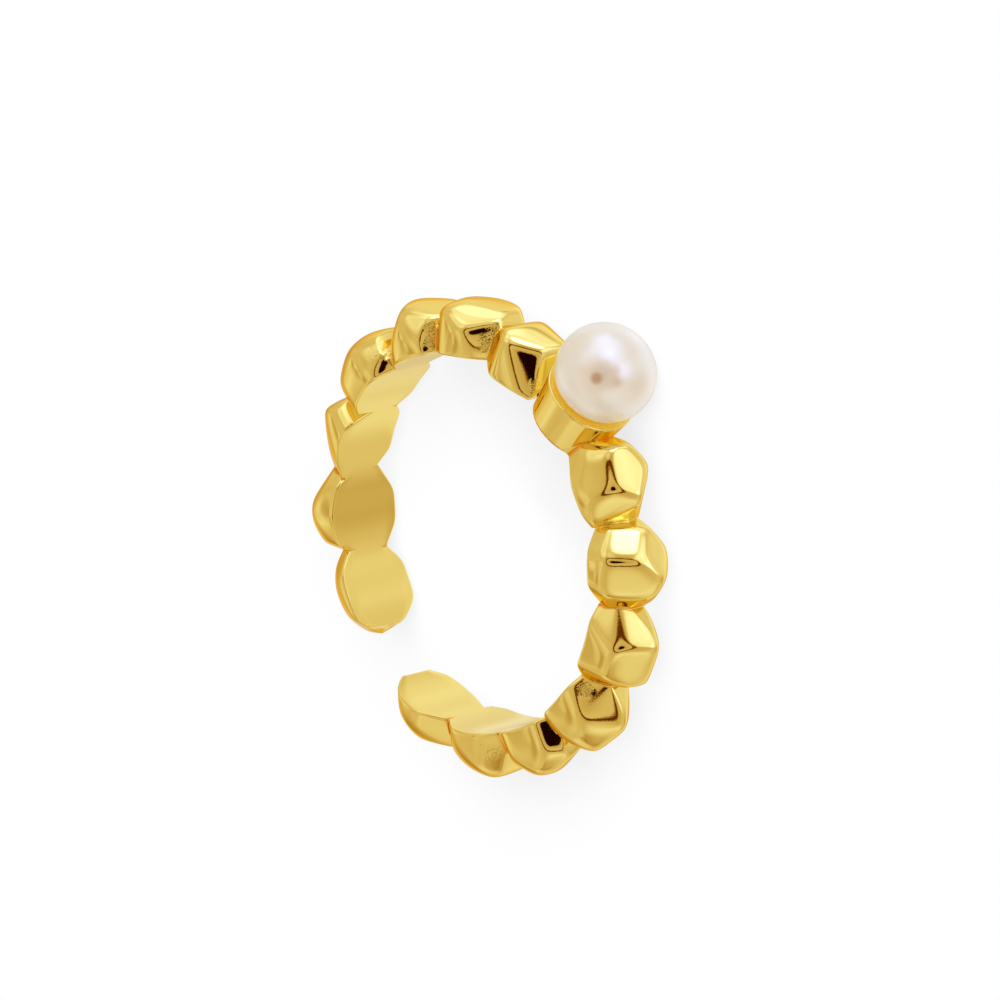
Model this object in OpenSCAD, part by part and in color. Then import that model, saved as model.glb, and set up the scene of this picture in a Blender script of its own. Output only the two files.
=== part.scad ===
// Open finger ring, cast as a row of faceted gold nuggets with a pearl set in a small cup.
// The ring lies on its side: its axis is Z, the pearl stands out along +X and the opening is at -X.

/* [Finger] */
// Inside diameter of the band
finger_d = 17; // [16.5:0.1:17.5]
// Angle from the pearl to the first end of the band
head_angle = 170.5; // [169:0.5:171]
// Angle from the pearl to the other end of the band
tail_angle = 172.5; // [171.5:0.5:173.5]
// Angle over which each end rounds off
end_angle = 7; // [5:0.5:9]
// Squareness of that rounding, 2 is an ellipse
end_power = 3; // [2:0.5:4]

/* [Nuggets] */
// Width of a nugget along the finger
nugget_w = 3.5; // [3.3:0.05:3.7]
// Sharpness of the facet edges, higher is crisper
facet_sharpness = 12; // [8:1:20]
// Flatness of the facets, 1 is dead flat
facet_flatness = 0.9; // [0.8:0.05:1]
// Sharpness of the crevices between nuggets, higher is crisper
crevice_sharpness = 26; // [16:1:40]

/* [Cup] */
// Diameter of the cup at its lip
cup_d = 4.1; // [3.9:0.05:4.3]
// Height of the lip above the finger wall
cup_h = 2.1; // [1.9:0.05:2.3]
// Diameter of the cup's foot, inside the band
foot_d = 3.5; // [3.3:0.05:3.6]
// Width of the slope inside the lip, seen from the pearl
slope_w = 0.5; // [0.4:0.05:0.6]
// Depth of the slope inside the lip
slope_h = 0.1; // [0.05:0.05:0.2]
// Gap between the pearl and the bowl that holds it
bowl_gap = 0.08; // [0.06:0.01:0.12]
// Diameter of the peg inside the pearl
peg_d = 0.8; // [0.6:0.1:1]

/* [Pearl] */
// Diameter of the pearl across its peg
pearl_d = 4.5; // [4.2:0.1:5]
// Height of the pearl along its peg
pearl_h = 4.2; // [4:0.1:4.6]
// Height of the pearl's middle above the finger wall
pearl_rise = 3.55; // [3.5:0.05:3.8]
// Clearance round the peg
peg_gap = 0.04; // [0.02:0.01:0.08]

/* [Mesh] */
// Cross-sections in each nugget
sections = 10; // [8:1:12]
// Points round the outside of each cross-section
round_points = 24; // [16:2:26]

/* [Hidden] */
$fn = 72;

finger_r = finger_d / 2;
core_r = finger_r + 0.9;
hole_r = finger_r - 0.3;
unit = nugget_w / 3.5;
hole_sharpness = 14;
reach_limit = 26;
oval_steps = 24;

// Columns of a facet row: lean of its normal from the outward direction, spin of that lean round it
// (0 along the band, 90 towards the near face) and distance from the nugget's root on the finger wall.
LEAN = 0;
SPIN = 1;
REACH = 2;

// Facets that close every nugget between the first and the last: both sides, near corner and far side.
end_facets = [
    [84, 0, 2.15],
    [84, 180, 2.15],
    [84, 130, 2.1],
    [78, 270, 1.95],
    [45, 270, 2.55],
    [62, 0, 2.3],
    [62, 180, 2.3],
];

// Columns of a nugget row: turn of the nugget round the finger, then its own facets.
TURN = 0;
FACETS = 1;
nuggets = [
    [157.5, [
        [20, 90, 2], [64, 135, 2.05], [55, 111, 1.9], [52, 80, 1.85], [57, 47, 2], [72, 18, 2.25],
        [60, 175, 2.05], [80, 90, 1.85], [80, 225, 1.95], [75, 315, 2], [80, 270, 1.95],
        [35, 250, 2.15], [84, 0, 2.55], [84, 180, 2.15], [80, 130, 1.95],
    ]],
    [134, [
        [116, 158, 1.8], [83, 108, 2.1], [88, 71, 2], [119, 109, 1.9], [86, 100, 1.9],
        [52, 138, 2.15], [51, 86, 2.45], [63, 56, 2.3], [87, 25, 2.05], [38, 200, 2.25],
        [25, 95, 2.5], [80, 230, 1.9], [80, 310, 2.1],
    ]],
    [110, [
        [106, 150, 1.5], [64, 153, 2.15], [79, 78, 1.95], [142, 106, 1.85], [88, 102, 1.85],
        [47, 168, 2], [37, 141, 2.45], [58, 68, 1.95], [69, 57, 2], [20, 95, 2.45], [80, 270, 1.5],
        [82, 225, 1.85], [82, 315, 1.75],
    ]],
    [87, [
        [91, 120, 2.2], [115, 143, 1.6], [42, 146, 2.5], [86, 85, 2.1], [50, 67, 2.5],
        [106, 85, 1.85], [27, 190, 2.45], [94, 178, 1.55], [23, 112, 2.55], [90, 48, 2.3],
        [80, 270, 1.7], [82, 225, 1.75], [82, 315, 2.1],
    ]],
    [64.5, [
        [70, 126, 2.05], [90, 151, 1.7], [100, 101, 1.8], [39, 168, 2.2], [89, 85, 1.9],
        [104, 190, 2], [21, 60, 2.55], [57, 50, 2.1], [16, 218, 2.45], [84, 50, 2], [80, 230, 2.05],
        [80, 310, 2.05],
    ]],
    [43, [
        [41, 136, 2.15], [81, 143, 1.75], [102, 112, 1.75], [16, 180, 2.3], [108, 138, 1.6],
        [88, 90, 1.85], [80, 178, 1.95], [27, 20, 2.5], [14, 301, 2.4], [84, 50, 2],
        [80, 230, 2.15], [80, 310, 2.05],
    ]],
    [20.5, [
        [60, 133, 1.75], [19, 138, 2.15], [79, 110, 1.95], [64, 163, 1.7], [15, 268, 2.35],
        [86, 92, 2], [132, 113, 2.2], [40, 357, 2.35], [41, 263, 2.15], [84, 50, 2],
        [80, 230, 2.05], [80, 310, 2.05],
    ]],
    [-1.5, [
        [0, 0, 1.25], [75, 20, 1.9], [80, 55, 1.7], [82, 90, 1.55], [80, 125, 1.7], [75, 160, 1.9],
        [75, 200, 1.9], [80, 235, 1.7], [80, 270, 1.55], [80, 305, 1.7], [75, 340, 1.9],
    ]],
    [-22.5, [
        [52, 82, 1.7], [20, 84, 1.95], [51, 130, 1.8], [54, 46, 2.15], [53, 305, 2.3],
        [58, 233, 1.85], [86, 97, 1.75], [84, 65, 1.8], [98, 128, 1.9], [80, 230, 2], [80, 310, 2],
        [70, 180, 1.9], [70, 164, 1.8],
    ]],
    [-45, [
        [46, 40, 1.9], [38, 100, 1.85], [87, 76, 1.95], [68, 316, 2.3], [50, 262, 2.35],
        [51, 219, 2.3], [69, 171, 2.05], [86, 89, 1.8], [95, 134, 1.8], [84, 50, 1.9], [80, 230, 2],
        [80, 310, 2], [70, 0, 2.2], [66, 180, 2.1], [70, 14, 2.1], [68, 155, 1.95], [24, 0, 2.2],
    ]],
    [-68.5, [
        [70, 50, 1.85], [56, 30, 2.05], [30, 92, 2.15], [64, 303, 2.1], [43, 262, 2.25],
        [50, 183, 2.5], [86, 88, 1.55], [80, 230, 2], [80, 310, 2], [66, 180, 2.15],
        [68, 155, 2.05], [66, 0, 2.3], [78, 135, 1.95],
    ]],
    [-90.5, [
        [87, 61, 1.75], [75, 44, 1.6], [44, 67, 2.15], [61, 357, 2.2], [84, 88, 1.6],
        [56, 110, 2.3], [58, 304, 2.05], [26, 240, 2.45], [80, 230, 2], [80, 310, 2],
        [64, 180, 2.2], [68, 155, 2.3], [66, 0, 2.05], [68, 25, 1.95], [63, 43, 1.7],
    ]],
    [-112.5, [
        [86, 36, 1.65], [88, 61, 1.85], [52, 44, 2.2], [78, 3, 1.8], [84, 89, 1.8], [86, 86, 1.6],
        [47, 132, 2.35], [32, 307, 2], [5, 180, 2.35], [80, 230, 2], [80, 310, 2],
    ]],
    [-136, [
        [28, 100, 2.35], [23, 351, 2.35], [53, 118, 2.25], [38, 175, 2.4], [30, 280, 2.35],
        [68, 55, 2.05], [75, 90, 1.95], [65, 0, 2.05], [65, 180, 2.15], [70, 225, 2.2],
        [70, 315, 2.2], [75, 270, 2.05], [84, 50, 2.3],
    ]],
    [-160, [
        [20, 0, 2.15], [40, 120, 2.15], [45, 60, 2.2], [60, 175, 2.35], [75, 90, 2.15],
        [72, 130, 2.1], [68, 50, 2.05], [78, 215, 1.65], [80, 248, 1.55], [80, 270, 1.45],
        [80, 292, 1.6], [80, 315, 2.1], [35, 250, 2.15], [84, 0, 2.15], [84, 180, 2.55],
    ]],
];

// Normal of a facet in its nugget's own directions: outwards, along the band, towards the near face.
function facet_normal(f) = [cos(f[LEAN]), sin(f[LEAN]) * cos(f[SPIN]), sin(f[LEAN]) * sin(f[SPIN])];

// A facet as its normal and its distance from the nugget's root.
function facet_plane(f) = [facet_normal(f), f[REACH] * unit];

// The first and last nuggets are whole in their own rows, and the others are closed by end_facets.
last_nugget = len(nuggets) - 1;
planes = [
    for (i = [0 : last_nugget])
        [for (f = concat(nuggets[i][FACETS], i == 0 || i == last_nugget ? [] : end_facets)) facet_plane(f)],
];

// How far one nugget reaches from the core circle, in the cross-section at angle turn and direction lean.
function nugget_reach(index, turn, lean) =
    let (
        offset_angle = turn - nuggets[index][TURN],
        core = [core_r * cos(offset_angle) - finger_r, core_r * sin(offset_angle), 0],
        ray = [cos(lean) * cos(offset_angle), cos(lean) * sin(offset_angle), sin(lean)],
        rooms = [for (p = planes[index]) p[1] - p[0] * core]
    )
    abs(offset_angle) > reach_limit || min(rooms) < 0.001 ? 0
    : pow(
        sum([
            for (i = [0 : len(rooms) - 1])
                pow(pow(max(0, planes[index][i][0] * ray), facet_flatness) / rooms[i], facet_sharpness)
        ]),
        -1 / facet_sharpness
    );

function sum(values) = [for (v = values) 1] * values;

// Share of the reach that is left near the two ends, so that each ends in a dome.
function end_share(turn) =
    let (into_end = max(turn - head_angle, -tail_angle - turn) + end_angle)
    pow(1 - pow(max(0, into_end) / end_angle, end_power), 1 / end_power);

// Reach of the whole row of nuggets, with soft crevices where two of them meet.
function row_reach(turn, lean) =
    end_share(turn) * pow(
        sum([for (i = [0 : last_nugget]) pow(nugget_reach(i, turn, lean), crevice_sharpness)]),
        1 / crevice_sharpness
    );

// Reach towards the finger, where the wall stops it.
function wall_reach(lean) = (core_r - hole_r) / max(0.001, -cos(lean));

function soft_min(a, b, sharpness) = pow(pow(a, -sharpness) + pow(b, -sharpness), -1 / sharpness);

function band_point(turn, lean) =
    let (reach = soft_min(row_reach(turn, lean), wall_reach(lean), hole_sharpness))
    [
        (core_r + reach * cos(lean)) * cos(turn),
        (core_r + reach * cos(lean)) * sin(turn),
        reach * sin(lean),
    ];

// Cross-sections crowd towards the crevices, where the shape turns fastest, and step over the domes.
edges = [
    head_angle,
    for (i = [1 : last_nugget]) (nuggets[i - 1][TURN] + nuggets[i][TURN]) / 2,
    -tail_angle,
];
dome_steps = [0.005, 0.03, 0.08, 0.17, 0.3, 0.5];
dome_sections = 3;
turns = [
    for (s = dome_steps) head_angle - end_angle * s,
    for (i = [0 : last_nugget])
        for (j = [(i == 0 ? dome_sections : 0) : (i == last_nugget ? sections - dome_sections : sections - 1)])
            let (share = (1 - cos(180 * j / sections)) / 2)
            edges[i] + (edges[i + 1] - edges[i]) * share,
    for (i = [len(dome_steps) - 1 : -1 : 0]) end_angle * dome_steps[i] - tail_angle,
];

// Directions round a cross-section: many on the outside, three across the finger wall.
outer_sweep = 122;
leans = [
    for (i = [0 : round_points]) -outer_sweep + 2 * outer_sweep * i / round_points,
    150,
    180,
    210,
];

module nugget_row() {
    ring = len(leans);
    last = len(turns) - 1;
    points = [
        for (t = turns) for (a = leans) band_point(t, a),
        core_r * [cos(head_angle), sin(head_angle), 0],
        core_r * [cos(tail_angle), -sin(tail_angle), 0],
    ];
    head = len(turns) * ring;
    sides = [
        for (i = [0 : last - 1])
            for (j = [0 : ring - 1])
                let (a = i * ring + j, b = i * ring + (j + 1) % ring)
                each [[a, b + ring, b], [a, a + ring, b + ring]],
    ];
    caps = [
        for (j = [0 : ring - 1])
            each [
                [head, j, (j + 1) % ring],
                [head + 1, last * ring + (j + 1) % ring, last * ring + j],
            ],
    ];
    polyhedron(points = points, faces = concat(sides, caps), convexity = 6);
}

// Everything round the pearl's peg is turned about +X.
module about_peg() {
    rotate([0, 90, 0]) children();
}

lip_r = cup_d / 2;
lip_round = 0.06;
lip_at = finger_r + cup_h;
foot_r = foot_d / 2;
foot_at = finger_r - 0.6;
pearl_at = finger_r + pearl_rise;
bowl_floor = pearl_at - pearl_h / 2 - bowl_gap;
peg_top = pearl_at + 0.3;
peg_root = 0.3;

// The cup's wall widens from its foot to its lip, faster towards the lip.
flare_steps = 8;
flare_power = 1.3;
flare = [
    for (i = [0 : flare_steps])
        let (share = i / flare_steps)
        [
            foot_r + (lip_r - foot_r) * pow(share, flare_power),
            foot_at + (lip_at - lip_round - foot_at) * share,
        ],
];

module cup_body() {
    about_peg() rotate_extrude() polygon(concat(
        [[0, foot_at]],
        flare,
        [for (a = [30 : 30 : 90]) [lip_r - lip_round * (1 - cos(a)), lip_at - lip_round * (1 - sin(a))]],
        [[lip_r - lip_round - slope_w, lip_at - slope_h], [0, lip_at - slope_h]]
    ));
}

// The pearl is a little flatter along its peg, and the bowl follows it a gap further out.
module oval_body(across, along) {
    about_peg() translate([0, 0, pearl_at]) rotate_extrude() polygon([
        for (a = [-90 : 180 / oval_steps : 90]) [max(0, across / 2 * cos(a)), along / 2 * sin(a)],
    ]);
}

module peg() {
    about_peg() translate([0, 0, bowl_floor - peg_root]) cylinder(d = peg_d, h = peg_top - bowl_floor + peg_root);
}

module band() {
    color("gold") {
        difference() {
            union() {
                nugget_row();
                cup_body();
            }
            cylinder(r = finger_r, h = 12, center = true);
            oval_body(pearl_d + 2 * bowl_gap, pearl_h + 2 * bowl_gap);
        }
        peg();
    }
}

module pearl() {
    color("seashell") difference() {
        oval_body(pearl_d, pearl_h);
        about_peg() translate([0, 0, foot_at]) cylinder(d = peg_d + 2 * peg_gap, h = peg_top + peg_gap - foot_at);
    }
}

band();
pearl();
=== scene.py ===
"""An open finger ring, cast as a row of faceted nuggets, gilt and polished, with a pearl in a small cup.

The ring lies on its side on a pale floor. Its axis is Z, the pearl stands out along +X and the
opening of the band is at -X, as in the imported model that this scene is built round.
"""

import logging
import math
from dataclasses import dataclass
from enum import Enum
from typing import Any, Mapping, Optional, Sequence, Union

import bpy
import numpy as np
from mathutils import Matrix, Vector


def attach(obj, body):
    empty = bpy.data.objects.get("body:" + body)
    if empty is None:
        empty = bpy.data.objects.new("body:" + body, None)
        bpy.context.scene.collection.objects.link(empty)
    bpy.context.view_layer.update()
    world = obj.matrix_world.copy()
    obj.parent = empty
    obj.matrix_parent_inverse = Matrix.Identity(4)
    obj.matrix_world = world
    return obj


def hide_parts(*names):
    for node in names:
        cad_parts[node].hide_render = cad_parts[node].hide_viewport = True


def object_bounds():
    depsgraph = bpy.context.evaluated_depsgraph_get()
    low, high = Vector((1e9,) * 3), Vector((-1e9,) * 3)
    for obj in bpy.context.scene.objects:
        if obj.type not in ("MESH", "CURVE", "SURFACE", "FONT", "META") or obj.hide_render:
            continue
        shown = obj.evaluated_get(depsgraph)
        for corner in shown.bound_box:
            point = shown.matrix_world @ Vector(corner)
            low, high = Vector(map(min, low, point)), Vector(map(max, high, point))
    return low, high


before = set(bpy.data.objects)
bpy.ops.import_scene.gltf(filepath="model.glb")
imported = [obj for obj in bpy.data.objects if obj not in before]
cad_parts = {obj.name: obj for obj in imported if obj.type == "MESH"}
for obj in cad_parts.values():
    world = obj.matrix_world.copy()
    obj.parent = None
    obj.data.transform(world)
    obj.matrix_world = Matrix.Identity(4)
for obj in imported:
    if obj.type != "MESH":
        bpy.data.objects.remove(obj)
CAD_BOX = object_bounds()

log = logging.getLogger("ring")

MM = 0.001
# Radius of the finger wall in mm.
FINGER_R = 8.5
Array = np.ndarray
Colour = tuple[float, float, float, float]
WHITE: Colour = (1.0, 1.0, 1.0, 1.0)
BLACK: Colour = (0.0, 0.0, 0.0, 1.0)
# Keeps a power or a quotient away from zero.
TINY = 1e-30


class Node(Enum):
    """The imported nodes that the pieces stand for."""

    BAND = "band"
    PEARL = "pearl"


class Slot(Enum):
    """The record's material slots."""

    GOLD = "gold"
    PEARL = "pearl"


# Facets


@dataclass(frozen=True)
class Nugget:
    """One nugget of the row.

    turn is its angle round the finger in degrees. Each facet is (lean, spin, reach): the lean of
    its normal from the outward direction, the spin of that lean round it (0 along the band, 90
    towards the near face) and the distance in mm from the nugget's root on the finger wall.
    """

    turn: float
    facets: tuple[tuple[float, float, float], ...]


# Facets as (lean, spin, reach), the same as in the part's source. END_FACETS closes every nugget
# but the first and the last, which have closing facets of their own.
END_FACETS = (
    (84, 0, 2.15), (84, 180, 2.15), (84, 130, 2.1), (78, 270, 1.95), (45, 270, 2.55), (62, 0, 2.3),
    (62, 180, 2.3),
)
NUGGETS = (
    Nugget(157.5, (
        (20, 90, 2), (64, 135, 2.05), (55, 111, 1.9), (52, 80, 1.85), (57, 47, 2), (72, 18, 2.25),
        (60, 175, 2.05), (80, 90, 1.85), (80, 225, 1.95), (75, 315, 2), (80, 270, 1.95), (35, 250, 2.15),
        (84, 0, 2.55), (84, 180, 2.15), (80, 130, 1.95),
    )),
    Nugget(134, (
        (116, 158, 1.8), (83, 108, 2.1), (88, 71, 2), (119, 109, 1.9), (86, 100, 1.9), (52, 138, 2.15),
        (51, 86, 2.45), (63, 56, 2.3), (87, 25, 2.05), (38, 200, 2.25), (25, 95, 2.5), (80, 230, 1.9),
        (80, 310, 2.1),
    )),
    Nugget(110, (
        (106, 150, 1.5), (64, 153, 2.15), (79, 78, 1.95), (142, 106, 1.85), (88, 102, 1.85), (47, 168, 2),
        (37, 141, 2.45), (58, 68, 1.95), (69, 57, 2), (20, 95, 2.45), (80, 270, 1.5), (82, 225, 1.85),
        (82, 315, 1.75),
    )),
    Nugget(87, (
        (91, 120, 2.2), (115, 143, 1.6), (42, 146, 2.5), (86, 85, 2.1), (50, 67, 2.5), (106, 85, 1.85),
        (27, 190, 2.45), (94, 178, 1.55), (23, 112, 2.55), (90, 48, 2.3), (80, 270, 1.7), (82, 225, 1.75),
        (82, 315, 2.1),
    )),
    Nugget(64.5, (
        (70, 126, 2.05), (90, 151, 1.7), (100, 101, 1.8), (39, 168, 2.2), (89, 85, 1.9), (104, 190, 2),
        (21, 60, 2.55), (57, 50, 2.1), (16, 218, 2.45), (84, 50, 2), (80, 230, 2.05), (80, 310, 2.05),
    )),
    Nugget(43, (
        (41, 136, 2.15), (81, 143, 1.75), (102, 112, 1.75), (16, 180, 2.3), (108, 138, 1.6),
        (88, 90, 1.85), (80, 178, 1.95), (27, 20, 2.5), (14, 301, 2.4), (84, 50, 2), (80, 230, 2.15),
        (80, 310, 2.05),
    )),
    Nugget(20.5, (
        (60, 133, 1.75), (19, 138, 2.15), (79, 110, 1.95), (64, 163, 1.7), (15, 268, 2.35), (86, 92, 2),
        (132, 113, 2.2), (40, 357, 2.35), (41, 263, 2.15), (84, 50, 2), (80, 230, 2.05), (80, 310, 2.05),
    )),
    Nugget(-1.5, (
        (0, 0, 1.25), (75, 20, 1.9), (80, 55, 1.7), (82, 90, 1.55), (80, 125, 1.7), (75, 160, 1.9),
        (75, 200, 1.9), (80, 235, 1.7), (80, 270, 1.55), (80, 305, 1.7), (75, 340, 1.9),
    )),
    Nugget(-22.5, (
        (52, 82, 1.7), (20, 84, 1.95), (51, 130, 1.8), (54, 46, 2.15), (53, 305, 2.3), (58, 233, 1.85),
        (86, 97, 1.75), (84, 65, 1.8), (98, 128, 1.9), (80, 230, 2), (80, 310, 2), (70, 180, 1.9),
        (70, 164, 1.8),
    )),
    Nugget(-45, (
        (46, 40, 1.9), (38, 100, 1.85), (87, 76, 1.95), (68, 316, 2.3), (50, 262, 2.35), (51, 219, 2.3),
        (69, 171, 2.05), (86, 89, 1.8), (95, 134, 1.8), (84, 50, 1.9), (80, 230, 2), (80, 310, 2),
        (70, 0, 2.2), (66, 180, 2.1), (70, 14, 2.1), (68, 155, 1.95), (24, 0, 2.2),
    )),
    Nugget(-68.5, (
        (70, 50, 1.85), (56, 30, 2.05), (30, 92, 2.15), (64, 303, 2.1), (43, 262, 2.25), (50, 183, 2.5),
        (86, 88, 1.55), (80, 230, 2), (80, 310, 2), (66, 180, 2.15), (68, 155, 2.05), (66, 0, 2.3),
        (78, 135, 1.95),
    )),
    Nugget(-90.5, (
        (87, 61, 1.75), (75, 44, 1.6), (44, 67, 2.15), (61, 357, 2.2), (84, 88, 1.6), (56, 110, 2.3),
        (58, 304, 2.05), (26, 240, 2.45), (80, 230, 2), (80, 310, 2), (64, 180, 2.2), (68, 155, 2.3),
        (66, 0, 2.05), (68, 25, 1.95), (63, 43, 1.7),
    )),
    Nugget(-112.5, (
        (86, 36, 1.65), (88, 61, 1.85), (52, 44, 2.2), (78, 3, 1.8), (84, 89, 1.8), (86, 86, 1.6),
        (47, 132, 2.35), (32, 307, 2), (5, 180, 2.35), (80, 230, 2), (80, 310, 2),
    )),
    Nugget(-136, (
        (28, 100, 2.35), (23, 351, 2.35), (53, 118, 2.25), (38, 175, 2.4), (30, 280, 2.35), (68, 55, 2.05),
        (75, 90, 1.95), (65, 0, 2.05), (65, 180, 2.15), (70, 225, 2.2), (70, 315, 2.2), (75, 270, 2.05),
        (84, 50, 2.3),
    )),
    Nugget(-160, (
        (20, 0, 2.15), (40, 120, 2.15), (45, 60, 2.2), (60, 175, 2.35), (75, 90, 2.15), (72, 130, 2.1),
        (68, 50, 2.05), (78, 215, 1.65), (80, 248, 1.55), (80, 270, 1.45), (80, 292, 1.6), (80, 315, 2.1),
        (35, 250, 2.15), (84, 0, 2.15), (84, 180, 2.55),
    )),
)


# Small tools


def linear(hex_colour: str) -> Colour:
    """Turn an sRGB hex colour into linear RGBA.

    Args:
        hex_colour: six hex digits, with or without a leading hash.

    Returns:
        The linear red, green, blue and an alpha of 1.
    """
    digits = hex_colour.lstrip("#")
    shares = (int(digits[i : i + 2], 16) / 255 for i in (0, 2, 4))
    red, green, blue = (s / 12.92 if s <= 0.04045 else ((s + 0.055) / 1.055) ** 2.4 for s in shares)
    return red, green, blue, 1.0


def add_node(
    tree: bpy.types.NodeTree,
    kind: str,
    settings: Optional[Mapping[str, Any]] = None,
    inputs: Optional[Mapping[Any, Any]] = None,
) -> bpy.types.Node:
    """Add a node with its settings, its values and its links.

    Args:
        tree: the node tree to add to.
        kind: the node's type name.
        settings: properties of the node itself.
        inputs: values or output sockets, by the input's name or number.

    Returns:
        The new node.
    """
    node = tree.nodes.new(kind)
    for name, value in (settings or {}).items():
        setattr(node, name, value)
    for key, value in (inputs or {}).items():
        socket = node.inputs[key]
        if isinstance(value, bpy.types.NodeSocket):
            tree.links.new(value, socket)
        else:
            socket.default_value = value
    return node


def ramp(
    tree: bpy.types.NodeTree,
    factor: bpy.types.NodeSocket,
    stops: Sequence[tuple[float, Any]],
) -> bpy.types.Node:
    """Add a colour ramp.

    Args:
        tree: the node tree to add to.
        factor: the socket that drives the ramp.
        stops: (position, RGBA) pairs in rising order.

    Returns:
        The ramp node.
    """
    node = add_node(tree, "ShaderNodeValToRGB", inputs={"Fac": factor})
    elements = node.color_ramp.elements
    while len(elements) < len(stops):
        elements.new(0.5)
    for element, (position, colour) in zip(elements, stops):
        element.position = position
        element.color = colour
    return node


def grid_faces(rows: int, columns: int, closed: bool) -> Array:
    """Number the quads of a grid of points.

    Args:
        rows: number of rows of points.
        columns: number of points in a row.
        closed: whether each row is a ring.

    Returns:
        An array of shape (quads, 4) of point numbers, wound anticlockwise when seen with the rows
        rising and the columns running to the left.
    """
    row = np.arange(rows - 1)[:, None]
    column = np.arange(columns if closed else columns - 1)[None, :]
    after = (column + 1) % columns
    here, above = row * columns, (row + 1) * columns
    corners = (here + column, here + after, above + after, above + column)
    return np.stack(np.broadcast_arrays(*corners), -1).reshape(-1, 4)


@dataclass
class Shell:
    """A closed surface: its points in metres, its faces as point numbers, and named point values."""

    points: Array
    faces: list[Array]
    values: dict[str, Array]

    @staticmethod
    def joined(shells: Sequence["Shell"]) -> "Shell":
        """Put several shells into one, keeping each one's faces and values.

        Args:
            shells: the shells, all with values of the same names.

        Returns:
            One shell that holds them all.
        """
        starts = np.cumsum([0] + [len(s.points) for s in shells[:-1]])
        faces = [f + start for s, start in zip(shells, starts) for f in s.faces]
        values = {name: np.concatenate([s.values[name] for s in shells]) for name in shells[0].values}
        return Shell(np.concatenate([s.points for s in shells]), faces, values)

    @staticmethod
    def from_rings(rings: Array, low: Array, high: Array, values: dict[str, Array]) -> "Shell":
        """Close a stack of rings with a pole at each end.

        Args:
            rings: array of shape (rings, points of a ring, 3).
            low: the pole before the first ring.
            high: the pole after the last ring.
            values: named values, one for each ring point and then one for each pole.

        Returns:
            The closed shell.
        """
        count, around = rings.shape[:2]
        quads = grid_faces(count, around, closed=True)
        step = np.arange(around)
        after = (step + 1) % around
        low_at = count * around
        low_fan = np.stack([np.full(around, low_at), after, step], -1)
        last = (count - 1) * around
        high_fan = np.stack([np.full(around, low_at + 1), last + step, last + after], -1)
        points = np.concatenate([rings.reshape(-1, 3), low[None], high[None]])
        return Shell(points, [quads, low_fan, high_fan], values)

    def make_object(self, name: str) -> bpy.types.Object:
        """Make the mesh object, smooth shaded, at the origin.

        Args:
            name: the object's name.

        Returns:
            The object, linked to the scene.
        """
        corners = np.concatenate([f.reshape(-1) for f in self.faces]).astype(np.int32)
        sizes = np.concatenate([np.full(len(f), f.shape[1]) for f in self.faces])
        starts = np.concatenate([[0], np.cumsum(sizes)[:-1]]).astype(np.int32)
        mesh = bpy.data.meshes.new(name)
        mesh.vertices.add(len(self.points))
        mesh.vertices.foreach_set("co", self.points.astype(np.float32).reshape(-1))
        mesh.loops.add(len(corners))
        mesh.loops.foreach_set("vertex_index", corners)
        mesh.polygons.add(len(sizes))
        mesh.polygons.foreach_set("loop_start", starts)
        for label, values in self.values.items():
            layer = mesh.attributes.new(label, "FLOAT", "POINT")
            layer.data.foreach_set("value", values.astype(np.float32))
        mesh.update(calc_edges=True)
        mesh.validate()
        mesh.shade_smooth()
        piece = bpy.data.objects.new(name, mesh)
        bpy.context.scene.collection.objects.link(piece)
        return piece


# Finishes


def tinted(
    tree: bpy.types.NodeTree,
    base: Union[Colour, bpy.types.NodeSocket],
    colour: Colour,
    share: bpy.types.NodeSocket,
    blend: str = "MIX",
) -> bpy.types.NodeSocket:
    """Add a colour mix.

    Args:
        tree: node tree to add it to.
        base: the colour, or its socket, where the share is 0.
        colour: colour brought in where the share is 1.
        share: socket of the share.
        blend: how the colour is brought in.

    Returns:
        The socket of the mixed colour.
    """
    node = add_node(
        tree,
        "ShaderNodeMix",
        {"data_type": "RGBA", "blend_type": blend},
        {0: share, 6: base, 7: colour},
    )
    return node.outputs[2]


@dataclass(frozen=True)
class Grain:
    """A relief of noise: the size of its features and its depth in mm, and the noise's settings."""

    size_mm: float
    depth_mm: float
    detail: float
    detail_share: float


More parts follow.
